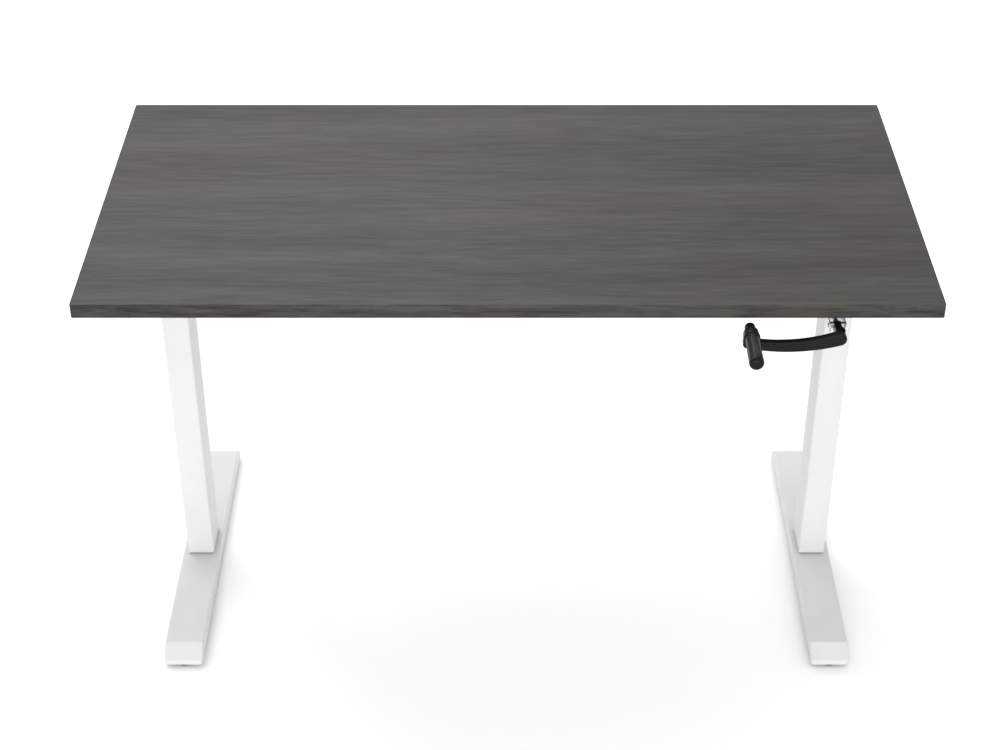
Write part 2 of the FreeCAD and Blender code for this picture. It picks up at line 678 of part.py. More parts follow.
def crank_gearbox():
    """Gearbox under the desktop where the crank shaft meets the cross shaft."""
    body = rounded_prism(
        (CASE_LEFT + CASE_RIGHT) / 2, (CASE_FRONT + CASE_BACK) / 2, CASE_RIGHT - CASE_LEFT,
        CASE_BACK - CASE_FRONT, ARM_BOTTOM, FLANGE_BOTTOM, 3.0)
    cavity = box(
        CASE_LEFT + BOX_WALL, CASE_RIGHT - BOX_WALL, CASE_FRONT + BOX_WALL, CASE_BACK - BOX_WALL,
        ARM_BOTTOM + BOX_WALL, FLANGE_BOTTOM + EPS)
    left_way = rod(
        V(CASE_LEFT - EPS, COLUMN_Y, AXIS_Z), V(CASE_LEFT + BOX_WALL + EPS, COLUMN_Y, AXIS_Z), PASS_R)
    right_way = rod(
        V(CASE_RIGHT - BOX_WALL - EPS, COLUMN_Y, AXIS_Z), V(CASE_RIGHT + EPS, COLUMN_Y, AXIS_Z), BUSH_R)
    front_way = rod(
        V(CRANK_X, CASE_FRONT - EPS, AXIS_Z), V(CRANK_X, CASE_FRONT + BOX_WALL + EPS, AXIS_Z), BUSH_R)
    save("crank_gear_housing", body.cut([cavity, left_way, right_way, front_way]))

    cover = box(COVER_LEFT, COVER_RIGHT, CASE_FRONT, CASE_BACK, FLANGE_BOTTOM, UNDER)
    corners = [e for e in cover.Edges if e.BoundBox.ZLength > 1.0]
    cover = cover.makeFillet(3.0, corners)
    holes = [upright(p.x, p.y, p.z - EPS, UNDER + EPS, SCREW_HOLE_R) for p in cover_screws()]
    save("crank_gear_cover", cover.cut(holes))


def shaft_bushes():
    """Plain bushes for the gear sleeves, one in each gearbox wall that a sleeve runs through."""
    inner = BOX_HALF_X - BOX_WALL
    bushes = []
    for _, side in SIDES:
        x = side * COLUMN_X
        bushes.append(ring(
            V(x + inner, COLUMN_Y, AXIS_Z), V(x + BOX_HALF_X, COLUMN_Y, AXIS_Z), BUSH_R, HUB_R + FIT))
    bushes.append(ring(
        V(CASE_RIGHT - BOX_WALL, COLUMN_Y, AXIS_Z), V(CASE_RIGHT, COLUMN_Y, AXIS_Z),
        BUSH_R, HUB_R + FIT))
    bushes.append(ring(
        V(CRANK_X, CASE_FRONT, AXIS_Z), V(CRANK_X, CASE_FRONT + BOX_WALL, AXIS_Z),
        BUSH_R, HUB_R + FIT))
    save("shaft_bushes", *bushes)


# ---- crank --------------------------------------------------------------------------------
SLEEVE_HALF = 9.0
SLEEVE_R = 7.0
FORK_BACK, FORK_BASE, FORK_FRONT = -323.0, -326.0, -358.0
FORK_HALF, FORK_SHEET, FORK_HEIGHT = 13.5, 1.6, 8.0
PIN_Y, PIN_R = -344.0, 2.5
TONGUE_HALF, TONGUE_HEIGHT = 5.5, 7.0
HORN_REACH = 13.5            # how far the horn stands behind the fold pin
PIN_HEAD_R, PIN_HEAD = 3.6, 1.2
SPACER_R = 5.5
ARM_REAR, ARM_FACE = -372.0, -384.0
BOSS_REAR = -353.5
HUB_OUT, BOSS_OUT = 11.5, 12.5
HUB_DROP = 3.0               # the arm's round end sits this far below the shaft axis
GRIP_REAR, GRIP_END = -385.0, -465.0
GRIP_R, COLLAR_R, DOME_R = 12.0, 13.5, 7.0
GROOVES, GROOVE_R = 6, 1.6
GROOVE_AT = 11.4             # groove centres from the grip axis
AXLE_R, CAP_R = 4.0, 8.8


def crank_point(dx, y):
    """A point level with the crank shaft, dx to its right."""
    return V(CRANK_X + dx, y, AXIS_Z)


def grip_point(y):
    """A point on the grip axis."""
    return V(GRIP_X, y, GRIP_Z)


def crank_shaft():
    start, end = crank_point(0, COLUMN_Y - GEAR_FRONT), crank_point(0, FORK_BASE)
    save("crank_rod", hexagon_bar(start, end, HEX))
    save("crank_gear", hexagon_gear(CRANK_APEX, -Y, X, 0.0))
    back, front = HANGER_Y + SLEEVE_HALF, HANGER_Y - SLEEVE_HALF
    sleeve = rod(crank_point(0, back), crank_point(0, front), SLEEVE_R)
    hole = hexagon_bar(crank_point(0, back + EPS), crank_point(0, front - EPS), HEX)
    save("hanger_sleeve", sleeve.cut(hole))


def crank_fork():
    """Folded steel fork at the shaft's end that the handle is pinned to."""
    outside = box(
        CRANK_X - FORK_HALF, CRANK_X + FORK_HALF, FORK_FRONT, FORK_BACK,
        AXIS_Z - FORK_HEIGHT, AXIS_Z + FORK_HEIGHT)
    noses = [
        e for e in outside.Edges if e.BoundBox.XLength > 1.0 and e.BoundBox.YMax < FORK_FRONT + 1.0]
    outside = outside.makeFillet(7.5, noses)
    folds = [
        e for e in outside.Edges if e.BoundBox.ZLength > 1.0 and e.BoundBox.YMin > FORK_BACK - 1.0]
    outside = outside.makeFillet(2.0, folds)
    clear = FORK_HALF - FORK_SHEET
    inside = box(
        CRANK_X - clear, CRANK_X + clear, FORK_FRONT - EPS, FORK_BASE,
        AXIS_Z - FORK_HEIGHT - EPS, AXIS_Z + FORK_HEIGHT + EPS)
    shaft_hole = hexagon_bar(crank_point(0, FORK_BASE - EPS), crank_point(0, FORK_BACK + EPS), HEX)
    pin_hole = rod(crank_point(-20.0, PIN_Y), crank_point(20.0, PIN_Y), PIN_R + FIT)
    save("crank_fork", outside.cut([inside, shaft_hole, pin_hole]))


def rod_hanger():
    """Bracket under the desktop's front that steadies the crank shaft."""
    front, back = HANGER_Y - 6.0, HANGER_Y + 6.0
    plate = box(CRANK_X - HANGER_HALF, CRANK_X + HANGER_HALF, front, back, FLANGE_BOTTOM, UNDER)
    ends = [e for e in plate.Edges if e.BoundBox.ZLength > 1.0]
    plate = plate.makeFillet(4.0, ends)
    web = box(CRANK_X - 7.0, CRANK_X + 7.0, front, back, AXIS_Z, FLANGE_BOTTOM)
    eye = rod(crank_point(0, front), crank_point(0, back), 11.0)
    cuts = [rod(crank_point(0, front - EPS), crank_point(0, back + EPS), SLEEVE_R + FIT)]
    for p in hanger_screws():
        cuts.append(upright(p.x, p.y, p.z - EPS, UNDER + EPS, SCREW_HOLE_R))
    save("rod_hanger", plate.fuse([web, eye]).cut(cuts))


def hinge_block():
    """Tongue behind the hub, wider at the hub.  It turns on the fold pin, inside the fork."""
    tail = rod(crank_point(-TONGUE_HALF, PIN_Y), crank_point(TONGUE_HALF, PIN_Y), TONGUE_HEIGHT)
    root, flare_start, flare_end = HUB_OUT - 2.0, PIN_Y - 12.0, ARM_REAR + 5.0
    plan = [
        (-TONGUE_HALF, PIN_Y), (TONGUE_HALF, PIN_Y), (TONGUE_HALF, flare_start),
        (root, flare_end), (root, ARM_REAR), (-TONGUE_HALF, ARM_REAR)]
    floor = [crank_point(dx, y) - V(0, 0, TONGUE_HEIGHT) for dx, y in plan + plan[:1]]
    neck = Part.Face(Part.makePolygon(floor)).extrude(V(0, 0, 2 * TONGUE_HEIGHT))
    horn = cone(crank_point(0, PIN_Y), crank_point(0, PIN_Y + HORN_REACH), 5.0, 4.0)
    pin_hole = rod(crank_point(-8.0, PIN_Y), crank_point(8.0, PIN_Y), PIN_R)
    save("hinge_block", tail.fuse([neck, horn]).cut(pin_hole))


def fold_pin():
    """Headed pin, with a spacer on each side of the tongue."""
    reach = FORK_HALF + SLIDE_GAP
    pin = rod(crank_point(-reach, PIN_Y), crank_point(reach, PIN_Y), PIN_R)
    heads, washers = [], []
    for _, side in SIDES:
        heads.append(rod(
            crank_point(side * reach, PIN_Y), crank_point(side * (reach + PIN_HEAD), PIN_Y),
            PIN_HEAD_R))
        washers.append(ring(
            crank_point(side * TONGUE_HALF, PIN_Y),
            crank_point(side * (FORK_HALF - FORK_SHEET - SLIDE_GAP), PIN_Y), SPACER_R, PIN_R))
    save("fold_pin", pin.fuse(heads))
    save("pin_washers", *washers)


HEEL_R, HEEL_DROP = 7.0, 16.6        # lower corner of the arm's grip end
NOTCH_R = 3.0                        # hollow between the boss and the arm's top edge
NOTCH_DROP = 7.2                     # its centre, below the grip axis
BELLY_R, BACK_R = 308.0, 265.0       # the arm's lower and upper edges


def circles_meet(a, from_a, b, from_b):
    """Upper of the two points that stand the given distances from a and b."""
    span = b - a
    along = (from_a ** 2 - from_b ** 2 + span.dot(span)) / (2 * span.Length)
    rise = math.sqrt(from_a ** 2 - along ** 2)
    unit = span / span.Length
    return a + unit * along + V(-unit.z, 0, unit.x) * rise


def toward(centre, target, radius):
    return centre + (target - centre).normalize() * radius


def short_arc(a, centre, b, radius):
    """The shorter arc from a to b about centre."""
    return arc(a, toward(centre, (a + b) / 2, radius), b)


def crank_arm():
    """Moulded arm.  It droops between the hub and the grip, and all its edges are tangent arcs."""
    hub = V(CRANK_X, ARM_FACE, AXIS_Z - HUB_DROP)
    boss = V(GRIP_X, ARM_FACE, GRIP_Z)
    heel = boss + V(HEEL_R - BOSS_OUT, 0, -HEEL_DROP)
    notch_side = math.sqrt((BOSS_OUT + NOTCH_R) ** 2 - NOTCH_DROP ** 2)
    notch = boss + V(notch_side, 0, -NOTCH_DROP)
    belly = circles_meet(heel, BELLY_R - HEEL_R, hub, BELLY_R - HUB_OUT)
    back = circles_meet(notch, BACK_R - NOTCH_R, hub, BACK_R + HUB_OUT)
    hub_low, hub_top = toward(hub, belly, -HUB_OUT), toward(hub, back, HUB_OUT)
    heel_low, heel_left = toward(heel, belly, -HEEL_R), heel - V(HEEL_R, 0, 0)
    boss_left, boss_right = boss - V(BOSS_OUT, 0, 0), toward(boss, notch, BOSS_OUT)
    notch_low = toward(notch, back, -NOTCH_R)
    outline = Part.Wire([
        short_arc(hub_low, belly, heel_low, BELLY_R),
        short_arc(heel_low, heel, heel_left, HEEL_R),
        line(heel_left, boss_left),
        arc(boss_left, boss + V(0, 0, BOSS_OUT), boss_right),
        short_arc(boss_right, notch, notch_low, NOTCH_R),
        short_arc(notch_low, back, hub_top, BACK_R),
        arc(hub_top, hub + V(HUB_OUT, 0, 0), hub_low)])
    plate = Part.Face(outline).extrude(V(0, ARM_REAR - ARM_FACE, 0))
    plate = plate.makeFillet(1.8, [e for e in plate.Edges if e.BoundBox.YLength < 0.01])
    bore = rod(grip_point(ARM_FACE - EPS), grip_point(ARM_REAR + EPS), AXLE_R)
    save("crank_arm", plate.cut(bore))


def grip_axle():
    save("grip_axle", rod(grip_point(ARM_REAR), grip_point(GRIP_END + 8.0), AXLE_R))
    cap = rod(grip_point(ARM_REAR), grip_point(BOSS_REAR), CAP_R)
    rim = [e for e in cap.Edges if e.BoundBox.YMin > BOSS_REAR - 0.01]
    save("axle_cap", cap.makeFillet(3.5, rim))


def crank_grip():
    """Hollow grip that spins on its axle, with a base collar and long grooves."""
    length = GRIP_REAR - GRIP_END

    def at(radius, along):
        return grip_point(GRIP_REAR - along) + V(radius, 0, 0)

    start, end = at(0, 0), at(0, length)
    points = [
        start, at(COLLAR_R, 0), at(COLLAR_R, 4.5), at(GRIP_R - 0.8, 6.5), at(GRIP_R, length - DOME_R)]
    bend = DOME_R * (1 - math.sqrt(0.5))
    crown = arc(points[-1], at(GRIP_R - bend, length - bend), at(GRIP_R - DOME_R, length))
    edges = [line(a, b) for a, b in zip(points, points[1:])]
    edges += [crown, line(at(GRIP_R - DOME_R, length), end), line(end, start)]
    body = Part.Face(Part.Wire(edges)).revolve(start, V(0, -1, 0), 360)
    cuts = [rod(grip_point(GRIP_REAR + EPS), grip_point(GRIP_END + 7.5), AXLE_R + FIT)]
    for i in range(GROOVES):
        angle = 2 * math.pi * i / GROOVES
        offset = V(GROOVE_AT * math.cos(angle), 0, GROOVE_AT * math.sin(angle))
        cuts.append(rod(
            grip_point(GRIP_REAR - 9.0) + offset, grip_point(GRIP_END + 14.0) + offset, GROOVE_R))
    save("crank_grip", body.cut(cuts))


# ---- build --------------------------------------------------------------------------------
for make in (
        desktop, edge_band, desktop_screws, feet, foot_plates, leveller_plates, levellers,
        column_seats, base_blocks, column_bolts, outer_tubes, tube_collars, nut_tubes, lift_nuts,
        inner_tubes, glide_shoes, head_plates, gear_housings, gear_lids, gearbox_screws,
        support_arms, rails, rail_fasteners, lead_screws, screw_supports, cross_shaft,
        crank_gearbox, shaft_bushes, crank_shaft, crank_fork, rod_hanger, hinge_block, fold_pin,
        crank_arm, grip_axle, crank_grip):
    make()
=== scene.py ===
"""Looks of the hand-cranked sit-stand desk: materials, threads, weld beads, light and camera."""

import math

import bmesh
import bpy
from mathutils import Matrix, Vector


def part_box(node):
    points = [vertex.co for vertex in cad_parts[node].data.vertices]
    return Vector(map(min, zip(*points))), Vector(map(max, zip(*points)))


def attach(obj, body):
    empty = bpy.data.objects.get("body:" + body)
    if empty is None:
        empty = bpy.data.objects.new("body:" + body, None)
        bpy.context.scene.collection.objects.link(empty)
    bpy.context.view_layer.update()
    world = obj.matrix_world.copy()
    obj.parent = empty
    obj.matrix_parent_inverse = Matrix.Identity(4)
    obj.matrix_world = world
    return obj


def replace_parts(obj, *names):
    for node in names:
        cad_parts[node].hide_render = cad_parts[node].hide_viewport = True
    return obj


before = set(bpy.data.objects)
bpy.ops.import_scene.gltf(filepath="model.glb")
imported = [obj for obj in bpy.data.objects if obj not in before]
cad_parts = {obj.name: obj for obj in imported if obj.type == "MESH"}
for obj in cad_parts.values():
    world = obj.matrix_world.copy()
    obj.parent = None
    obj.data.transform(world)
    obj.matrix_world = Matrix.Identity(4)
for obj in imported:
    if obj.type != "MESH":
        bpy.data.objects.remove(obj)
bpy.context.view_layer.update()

# ---- camera and light ---------------------------------------------------------------------
CAMERA_AT = (-0.0124, -2.9653, 2.5087)
CAMERA_PITCH = 34.753            # degrees below level
CAMERA_LENS = 70.14              # mm, on a sensor 36 mm wide
FLOOR_HALF = 30.0
WORLD_LIGHT = 1.05

# ---- names and numbers used in several places ---------------------------------------------
SIDES = (("left", -1), ("right", 1))
RAILS = ("front_rail", "rear_rail")
SHARP_ANGLE = math.radians(32)   # edges sharper than this aren't smoothed
CHAMFER = math.radians(30)       # of bolt heads and nuts
HEAD_FACE = 0.95                 # their round outer face, as a share of the width across flats
BEAD_SIDES = 10                  # corners of a weld bead's section
BEAD_END = 0.4                   # a bead's radius at its two ends, as a share
RIPPLE = 0.12                    # a bead's swell, as a share of its radius
RIPPLE_STEP = 1.9                # radians of swell from one point of the path to the next

# Sockets of the Mix node, by number because its colour and vector sockets share their names.
MIX_SHARE = 0
COLOUR_A, COLOUR_B, COLOUR_OUT = 6, 7, 2
VECTOR_A, VECTOR_B, VECTOR_OUT = 4, 5, 1


# ---- shader helpers -----------------------------------------------------------------------
class Shader:
    """A new material and short ways to add nodes to it."""

    def __init__(self, name):
        self.material = bpy.data.materials.new(name + "_finish")
        self.material.use_nodes = True
        self.tree = self.material.node_tree
        self.surface = self.tree.nodes["Principled BSDF"]
        self.place = self.add("ShaderNodeTexCoord").outputs["Object"]

    def add(self, kind, inputs=None, **settings):
        node = self.tree.nodes.new(kind)
        for name, value in settings.items():
            setattr(node, name, value)
        for name, value in (inputs or {}).items():
            self.feed(node.inputs[name], value)
        return node

    def feed(self, socket, value):
        if isinstance(value, bpy.types.NodeSocket):
            self.tree.links.new(value, socket)
        else:
            socket.default_value = value

    def set(self, **inputs):
        for name, value in inputs.items():
            self.feed(self.surface.inputs[name.replace("_", " ")], value)

    def noise(self, repeats, detail=3.0, rough=0.55, place=None):
        """Noise that repeats so many times a metre along X, Y and Z."""
        stretched = self.add(
            "ShaderNodeVectorMath", {0: place or self.place, 1: repeats},
            operation="MULTIPLY").outputs[0]
        return self.add(
            "ShaderNodeTexNoise",
            {"Vector": stretched, "Scale": 1.0, "Detail": detail,
             "Roughness": rough}).outputs["Fac"]

    def even_noise(self, repeats, detail=3.0, rough=0.55):
        """The same along all three axes."""
        return self.noise((repeats, repeats, repeats), detail, rough)

    def axes(self, vector):
        """The X, Y and Z of a vector, each as an output."""
        return self.add("ShaderNodeSeparateXYZ", {0: vector}).outputs

    def math(self, operation, a, b=0.0):
        return self.add("ShaderNodeMath", {0: a, 1: b}, operation=operation).outputs[0]

    def share_of(self, parts):
        """Sum of (pattern, share) pairs."""
        total = 0.0
        for pattern, share in parts:
            total = self.math("ADD", total, self.math("MULTIPLY", pattern, share))
        return total

    def between(self, value, low, high, to_low=0.0, to_high=1.0):
        """value taken from low..high to to_low..to_high, and held at the ends."""
        return self.add(
            "ShaderNodeMapRange",
            {"Value": value, "From Min": low, "From Max": high, "To Min": to_low,
             "To Max": to_high}).outputs["Result"]

    def mix(self, share, a, b, blend="MIX"):
        node = self.add("ShaderNodeMix", data_type="RGBA", blend_type=blend)
        self.feed(node.inputs[MIX_SHARE], share)
        self.feed(node.inputs[COLOUR_A], a)
        self.feed(node.inputs[COLOUR_B], b)
        return node.outputs[COLOUR_OUT]

    def bump(self, height, distance, strength=1.0, under=None):
        inputs = {"Height": height, "Distance": distance, "Strength": strength}
        if under is not None:
            inputs["Normal"] = under
        return self.add("ShaderNodeBump", inputs).outputs["Normal"]


def grey(value, tint=(1.0, 1.0, 1.0)):
    return tuple(value * t for t in tint) + (1.0,)


# ---- materials ----------------------------------------------------------------------------
def wood_grain(shader, place):
    """Printed straight grain along X: (tone, tint, pores), each about 0 to 1."""
    drift = shader.noise((1.9, 4.0, 4.0), 3.0, place=place)
    offset = shader.add(
        "ShaderNodeCombineXYZ", {"Y": shader.between(drift, 0.0, 1.0, -0.02, 0.02)}).outputs[0]
    bent = shader.add("ShaderNodeVectorMath", {0: place, 1: offset}, operation="ADD").outputs[0]
    tone = shader.share_of((
        (shader.noise((1.1, 13.0, 13.0), 3.0, place=bent), 0.34),            # broad bands
        (shader.noise((9.0, 110.0, 110.0), 4.0, 0.62, place=bent), 0.38),    # streaks
        (shader.noise((24.0, 520.0, 520.0), 3.0, 0.65, place=bent), 0.28)))  # fibres
    tint = shader.noise((3.0, 9.0, 9.0), 2.0, place=place)
    pores = shader.between(shader.noise((30.0, 640.0, 640.0), 2.0, 0.5, place=bent), 0.60, 0.70)
    return tone, tint, pores


def wood_surface(shader, place, dark, light, pore_depth):
    """The wood print between two tones, matt, with its pores pressed in."""
    tone, tint, pores = wood_grain(shader, place)
    warm, cool = grey(1.0, (1.05, 0.98, 0.94)), grey(1.0, (0.97, 1.015, 1.0))
    base = shader.mix(shader.between(tone, 0.38, 0.62), dark, light)
    base = shader.mix(1.0, base, shader.mix(shader.between(tint, 0.38, 0.62), warm, cool), "MULTIPLY")
    base = shader.mix(shader.math("MULTIPLY", pores, 0.40), base, grey(0.020))
    height = shader.math("SUBTRACT", shader.math("MULTIPLY", tone, 0.5), pores)
    shader.set(
        Base_Color=base, Roughness=shader.between(tone, 0.3, 0.7, 0.56, 0.46),
        Specular_IOR_Level=0.22, Normal=shader.bump(height, pore_depth, 0.6))


def laminate():
    """The desktop's faces: the grain runs along the desk's length."""
    shader = Shader("laminate")
    dark, light = grey(0.028, (1.0, 1.01, 0.93)), grey(0.055, (1.0, 1.02, 0.94))
    wood_surface(shader, shader.place, dark, light, 0.00012)
    return shader.material


def band():
    """Edge band: the grain runs along each edge."""
    shader = Shader("band")
    facing = shader.axes(shader.add("ShaderNodeNewGeometry").outputs["Normal"])
    place = shader.axes(shader.place)
    on_end = shader.between(shader.math("ABSOLUTE", facing["X"]), 0.6, 0.8)
    turned = shader.add(
        "ShaderNodeCombineXYZ", {"X": place["Y"], "Y": place["X"], "Z": place["Z"]}).outputs[0]
    along = shader.add(
        "ShaderNodeMix", {MIX_SHARE: on_end, VECTOR_A: shader.place, VECTOR_B: turned},
        data_type="VECTOR").outputs[VECTOR_OUT]
    dark, light = grey(0.006, (1.0, 0.99, 0.84)), grey(0.060, (1.0, 1.0, 0.86))
    wood_surface(shader, along, dark, light, 0.00010)
    return shader.material


def painted_steel():
    """White powder coat with a fine orange peel."""
    shader = Shader("white_paint")
    peel = shader.even_noise(620.0, 2.0, 0.5)
    broad = shader.noise((14.0, 14.0, 9.0), 3.0)
    grain = shader.even_noise(2400.0, 1.0)
    warm, cool = grey(0.595, (1.0, 0.998, 0.985)), grey(0.620, (0.998, 1.0, 0.995))
    base = shader.mix(shader.between(broad, 0.3, 0.7), warm, cool)
    base = shader.mix(shader.between(grain, 0.64, 0.78, 0.0, 0.10), base, grey(0.47))
    shader.set(
        Base_Color=base, Roughness=shader.between(peel, 0.3, 0.7, 0.38, 0.50),
        Specular_IOR_Level=0.30,
        Normal=shader.bump(peel, 0.00016, 0.5, shader.bump(grain, 0.00003, 0.4)))
    return shader.material


def grip_sheen_and_rub(shader, worn):
    """Share of painted sheen and rub, 0 to 1: only on the upper side of the crank's grip, short of
    its two ends, lightened as if lit from above.
    """
    low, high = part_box("crank_grip")
    tip, arm, flank = low.y + 0.013, high.y - 0.005, high.z - 0.0125
    place = shader.axes(shader.place)
    masks = (
        shader.between(place["Y"], tip, tip + 0.006),
        shader.between(place["Y"], arm - 0.004, arm, 1.0, 0.0),
        shader.between(place["Z"], flank, flank + 0.009))
    share = shader.between(worn, 0.2, 0.7, 0.75, 1.0)
    for mask in masks:
        share = shader.math("MULTIPLY", share, mask)
    return share


def moulded(name, dark, light, rough, gloss, texture=1900.0, depth=0.00006, sheen_on_grip=False):
    """Moulded plastic with a spark-eroded texture and faint flow marks; the grip flag adds a painted
    sheen with some rub, lighter on the upper side of the crank's grip.
    """
    shader = Shader(name)
    flow = shader.noise((30.0, 12.0, 30.0), 4.0, 0.6)
    spark = shader.even_noise(texture, 2.0, 0.6)
    worn = shader.even_noise(160.0, 4.0, 0.65)
    base = shader.mix(shader.between(flow, 0.3, 0.7), dark, light)
    base = shader.mix(shader.between(worn, 0.62, 0.8, 0.0, 0.25), base, grey(0.04))
    # painted sheen: the grip's upper side is lightened as light from above would make it shine, with
    # some rub
    if sheen_on_grip:
        base = shader.mix(grip_sheen_and_rub(shader, worn), base, grey(0.017))
    shader.set(
        Base_Color=base, Roughness=shader.between(worn, 0.3, 0.7, rough - 0.06, rough + 0.07),
        Specular_IOR_Level=gloss, Normal=shader.bump(spark, depth, 0.7))
    return shader.material


def metal(name, dark, light, rough, grain, depth=0.00004):
    """Metal whose tone and gloss follow a grain of so many repeats a metre along X, Y and Z."""
    shader = Shader(name)
    cloud = shader.even_noise(55.0, 4.0, 0.6)
    marks = shader.noise(grain, 3.0, 0.6)
    tone = shader.share_of(((cloud, 0.55), (marks, 0.45)))
    shader.set(
        Base_Color=shader.mix(shader.between(tone, 0.35, 0.65), dark, light), Metallic=1.0,
        Roughness=shader.between(marks, 0.3, 0.7, rough - 0.07, rough + 0.09),
        Normal=shader.bump(marks, depth, 0.6))
    return shader.material


MATERIALS = {
    "laminate": laminate(),
    "band": band(),
    "white_paint": painted_steel(),
    "black_plastic": moulded(
        "black_plastic", grey(0.0035), grey(0.006), rough=0.34, gloss=0.13, sheen_on_grip=True),
    "guide_plastic": moulded(
        "guide_plastic", grey(0.120), grey(0.150), rough=0.42, gloss=0.40, texture=900.0,
        depth=0.00002),
    "pad_plastic": moulded(
        "pad_plastic", grey(0.016), grey(0.026), rough=0.60, gloss=0.35, texture=700.0,
        depth=0.00008),
    "zinc_steel": metal(
        "zinc_steel", grey(0.46, (0.97, 1.0, 1.04)), grey(0.66, (0.98, 1.0, 1.03)), rough=0.36,
        grain=(260.0, 260.0, 260.0), depth=0.000004),
    "drawn_steel": metal(
        "drawn_steel", grey(0.36), grey(0.52), rough=0.30, grain=(900.0, 900.0, 25.0)),
    "gear_steel": metal(
        "gear_steel", grey(0.26, (1.0, 0.99, 0.97)), grey(0.42, (1.0, 0.99, 0.97)), rough=0.34,
        grain=(420.0, 420.0, 420.0)),
    "bronze": metal(
        "bronze", grey(0.42, (1.0, 0.70, 0.38)), grey(0.58, (1.0, 0.74, 0.44)), rough=0.36,
        grain=(700.0, 700.0, 700.0)),
    "cast_alloy": metal(
        "cast_alloy", grey(0.40), grey(0.52), rough=0.50, grain=(1100.0, 1100.0, 1100.0),
        depth=0.00008),
}

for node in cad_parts.values():
    for i, plain in enumerate(node.data.materials):
        node.data.materials[i] = MATERIALS[plain.name]


# ---- new pieces ---------------------------------------------------------------------------
class Solid:
    """One new piece, given in millimetres in the desk's frame."""

    def __init__(self):
        self.points = []
        self.faces = []

    def rings(self, rings, closed=False):
        """Join rings of equal length with quads, and cap both ends unless the rings form a loop."""
        first, size = len(self.points), len(rings[0])
        for ring in rings:
            self.points += ring
        pairs = [(i, i + 1) for i in range(len(rings) - 1)]
        if closed:
            pairs.append((len(rings) - 1, 0))
        for low, high in pairs:
            for i in range(size):
                j = (i + 1) % size
                self.faces.append([
                    first + low * size + i, first + low * size + j,
                    first + high * size + j, first + high * size + i])
        if not closed:
            self.faces.append([first + i for i in range(size)])
            self.faces.append([first + (len(rings) - 1) * size + i for i in range(size)])

    def turned(self, centre, profile, steps=48):
        """Solid of revolution about the upright through centre; profile is (radius, z) pairs."""
        self.rings([
            [centre + Vector((radius * math.cos(a), radius * math.sin(a), z))
             for a in (2 * math.pi * i / steps for i in range(steps))]
            for radius, z in profile])

    def helix(self, centre, low, high, lead, start, section, steps=24):
        """Thread ridge; section is (radius, height) pairs about the helix."""
        count = int((high - low) / lead * steps)
        rings = []
        for i in range(count + 1):
            turn = i / steps
            angle = 2 * math.pi * (turn + start)
            out = Vector((math.cos(angle), math.sin(angle), 0))
            rings.append([
                centre + out * radius + Vector((0, 0, low + turn * lead + height))
                for radius, height in section])
        self.rings(rings)

    def bead(self, path, radius, closed=False):
        """Weld bead along a path; it swells and shrinks along its run, and thins at its ends."""
        rings = []
        for i, point in enumerate(path):
            before = path[i - 1] if closed or i else point
            after = path[(i + 1) % len(path)] if closed or i + 1 < len(path) else point
            along = (after - before).normalized()
            side = along.orthogonal().normalized()
            other = along.cross(side)
            size = radius * (1.0 + RIPPLE * math.sin(RIPPLE_STEP * i))
            if not closed and i in (0, len(path) - 1):
                size *= BEAD_END
            rings.append([
                point + side * (size * math.cos(a)) + other * (size * math.sin(a))
                for a in (2 * math.pi * k / BEAD_SIDES for k in range(BEAD_SIDES))])
        self.rings(rings, closed)

    def hexagon_head(self, base, away, flats, height):
        """Hexagon head or nut with chamfered corners; away points to its outer face."""
        side = Vector((0, 0, 1))
        other = away.cross(side)
        inner = flats / 2
        face = inner * HEAD_FACE
        base_ring, rim_ring, face_ring = [], [], []
        for degrees in range(0, 360, 10):
            angle = math.radians(degrees)
            out = side * math.cos(angle) + other * math.sin(angle)
            outer = inner / math.cos(math.radians(degrees % 60 - 30))
            drop = (outer - face) * math.tan(CHAMFER)
            base_ring.append(base + out * outer)
            rim_ring.append(base + out * outer + away * (height - drop))
            face_ring.append(base + out * face + away * height)
        self.rings([base_ring, rim_ring, face_ring])

    def shaft(self, start, end, profile, steps=24):
        """Round bar between two points; profile is (share of the length, radius) pairs."""
        along = end - start
        side = along.orthogonal().normalized()
        other = along.normalized().cross(side)
        self.rings([
            [start + along * share + side * (radius * math.cos(a)) + other * (radius * math.sin(a))
             for a in (2 * math.pi * k / steps for k in range(steps))]
            for share, radius in profile])

    def finish(self, name, slot, body):
        mesh = bpy.data.meshes.new(name)
        mesh.from_pydata([p / 1000 for p in self.points], [], self.faces)
        shape = bmesh.new()
        shape.from_mesh(mesh)
        bmesh.ops.recalc_face_normals(shape, faces=shape.faces)
        shape.to_mesh(mesh)
        shape.free()
        mesh.shade_smooth()
        mesh.set_sharp_from_angle(angle=SHARP_ANGLE)
        mesh.materials.append(MATERIALS[slot])
        piece = bpy.data.objects.new(name, mesh)
        bpy.context.scene.collection.objects.link(piece)
        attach(piece, body)
        return piece


def reach(node):
    """Lowest and highest corners of a CAD node, and its middle, in millimetres."""
    low, high = (Vector(corner) * 1000 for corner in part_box(node))
    return low, high, (low + high) / 2


def line_of(start, end, gap=0.9):
    """Points along a straight run, about gap apart."""
    count = max(2, int((end - start).length / gap))
    return [start.lerp(end, i / count) for i in range(count + 1)]


def rail_welds():
    """Fillet welds between the cross rails and their end plates."""
    plate = 3.0
    off_plate, off_rail = 0.5, 0.4
    rise = 12.5 + off_rail           # above and below a rail's middle
    run = Vector((0, 17.0, 0))       # half of a weld's length
    for name in RAILS:
        _, high, middle = reach(name)
        end = high.x - plate - off_plate
        welds = Solid()
        for x in (-end, end):
            for z in (middle.z - rise, middle.z + rise):
                at = Vector((x, middle.y, z))
                welds.bead(line_of(at - run, at + run), 1.5)
        welds.finish(name + "_welds", "white_paint", "top")


